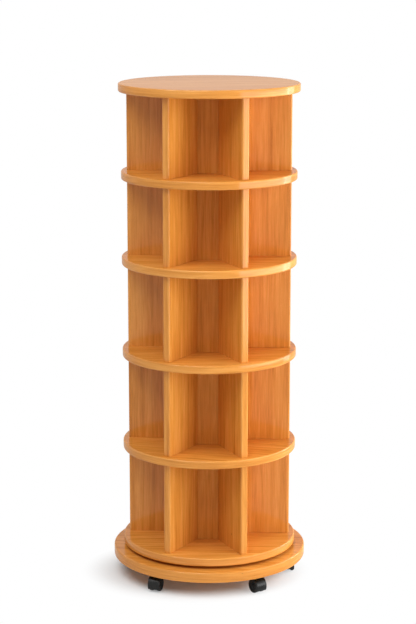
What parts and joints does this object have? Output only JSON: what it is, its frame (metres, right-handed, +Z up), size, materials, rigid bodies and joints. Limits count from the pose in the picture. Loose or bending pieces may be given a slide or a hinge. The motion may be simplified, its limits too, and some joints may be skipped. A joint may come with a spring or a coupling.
{
  "type": "revolving bookcase",
  "caption": "Free-standing round bookcase with open wedge compartments round a hollow core, turning on a low base board that rolls on swivel casters.",
  "frame": {"origin": "on the floor, on the axis that the shelves turn about", "axes": "+Z up along that axis, -Y towards the pictured front"},
  "size_m": [0.514, 0.514, 1.3155],
  "materials": {
    "honey_wood": "satin varnish",
    "turntable_metal": "plain",
    "ball_steel": "polished",
    "plate_steel": "zinc plated",
    "hood_plastic": "satin",
    "wheel_plastic": "satin"
  },
  "bodies": {
    "base": {"base_board": "honey_wood", "turntable_outer_ring": "turntable_metal", "caster_1_plate": "plate_steel", "caster_2_plate": "plate_steel", "caster_3_plate": "plate_steel", "caster_4_plate": "plate_steel", "caster_5_plate": "plate_steel"},
    "stack": {"bottom_shelf": "honey_wood", "shelf_4": "honey_wood", "shelf_3": "honey_wood", "shelf_2": "honey_wood", "shelf_1": "honey_wood", "top_board": "honey_wood", "tier_1_core": "honey_wood", "tier_1_divider_1": "honey_wood", "tier_1_divider_2": "honey_wood", "tier_1_divider_3": "honey_wood", "tier_1_divider_4": "honey_wood", "tier_1_divider_5": "honey_wood", "tier_1_divider_6": "honey_wood", "tier_2_core": "honey_wood", "tier_2_divider_1": "honey_wood", "tier_2_divider_2": "honey_wood", "tier_2_divider_3": "honey_wood", "tier_2_divider_4": "honey_wood", "tier_2_divider_5": "honey_wood", "tier_2_divider_6": "honey_wood", "tier_3_core": "honey_wood", "tier_3_divider_1": "honey_wood", "tier_3_divider_2": "honey_wood", "tier_3_divider_3": "honey_wood", "tier_3_divider_4": "honey_wood", "tier_3_divider_5": "honey_wood", "tier_3_divider_6": "honey_wood", "tier_4_core": "honey_wood", "tier_4_divider_1": "honey_wood", "tier_4_divider_2": "honey_wood", "tier_4_divider_3": "honey_wood", "tier_4_divider_4": "honey_wood", "tier_4_divider_5": "honey_wood", "tier_4_divider_6": "honey_wood", "tier_5_core": "honey_wood", "tier_5_divider_1": "honey_wood", "tier_5_divider_2": "honey_wood", "tier_5_divider_3": "honey_wood", "tier_5_divider_4": "honey_wood", "tier_5_divider_5": "honey_wood", "tier_5_divider_6": "honey_wood", "turntable_inner_ring": "turntable_metal"},
    "ball_ring": {"turntable_ball_ring": "ball_steel"},
    "caster_1_swivel": {"caster_1_hood": "hood_plastic"},
    "caster_1_rollers": {"caster_1_wheels": "wheel_plastic"},
    "caster_2_swivel": {"caster_2_hood": "hood_plastic"},
    "caster_2_rollers": {"caster_2_wheels": "wheel_plastic"},
    "caster_3_swivel": {"caster_3_hood": "hood_plastic"},
    "caster_3_rollers": {"caster_3_wheels": "wheel_plastic"},
    "caster_4_swivel": {"caster_4_hood": "hood_plastic"},
    "caster_4_rollers": {"caster_4_wheels": "wheel_plastic"},
    "caster_5_swivel": {"caster_5_hood": "hood_plastic"},
    "caster_5_rollers": {"caster_5_wheels": "wheel_plastic"}
  },
  "joints": [
    {"name": "stack_spin", "type": "hinge", "parent": "base", "child": "stack", "pos_m": [0, 0, 0.0785], "axis": [0, 0, 1], "continuous": true},
    {"name": "ball_ring_spin", "type": "hinge", "parent": "base", "child": "ball_ring", "pos_m": [0, 0, 0.0785], "axis": [0, 0, 1], "continuous": true},
    {"name": "caster_1_turn", "type": "hinge", "parent": "base", "child": "caster_1_swivel", "pos_m": [0.12637, -0.17394, 0.0438], "axis": [0, 0, 1], "continuous": true},
    {"name": "caster_1_roll", "type": "hinge", "parent": "caster_1_swivel", "child": "caster_1_rollers", "pos_m": [0.1348, -0.18512, 0.019], "axis": [0.7986, 0.6018, 0], "continuous": true},
    {"name": "caster_2_turn", "type": "hinge", "parent": "base", "child": "caster_2_swivel", "pos_m": [0.215, 0, 0.0438], "axis": [0, 0, 1], "continuous": true},
    {"name": "caster_2_roll", "type": "hinge", "parent": "caster_2_swivel", "child": "caster_2_rollers", "pos_m": [0.215, -0.014, 0.019], "axis": [1, 0, 0], "continuous": true},
    {"name": "caster_3_turn", "type": "hinge", "parent": "base", "child": "caster_3_swivel", "pos_m": [0, 0.215, 0.0438], "axis": [0, 0, 1], "continuous": true},
    {"name": "caster_3_roll", "type": "hinge", "parent": "caster_3_swivel", "child": "caster_3_rollers", "pos_m": [-0.01212, 0.208, 0.019], "axis": [0.5, -0.866, 0], "continuous": true},
    {"name": "caster_4_turn", "type": "hinge", "parent": "base", "child": "caster_4_swivel", "pos_m": [-0.215, 0, 0.0438], "axis": [0, 0, 1], "continuous": true},
    {"name": "caster_4_roll", "type": "hinge", "parent": "caster_4_swivel", "child": "caster_4_rollers", "pos_m": [-0.208, 0.01212, 0.019], "axis": [-0.866, 0.5, 0], "continuous": true},
    {"name": "caster_5_turn", "type": "hinge", "parent": "base", "child": "caster_5_swivel", "pos_m": [-0.12637, -0.17394, 0.0438], "axis": [0, 0, 1], "continuous": true},
    {"name": "caster_5_roll", "type": "hinge", "parent": "caster_5_swivel", "child": "caster_5_rollers", "pos_m": [-0.13023, -0.1874, 0.019], "axis": [0.9613, -0.2756, 0], "continuous": true}
  ],
  "couplings": [
    {"joint": "ball_ring_spin", "follows": "stack_spin", "ratio": 0.5}
  ]
}
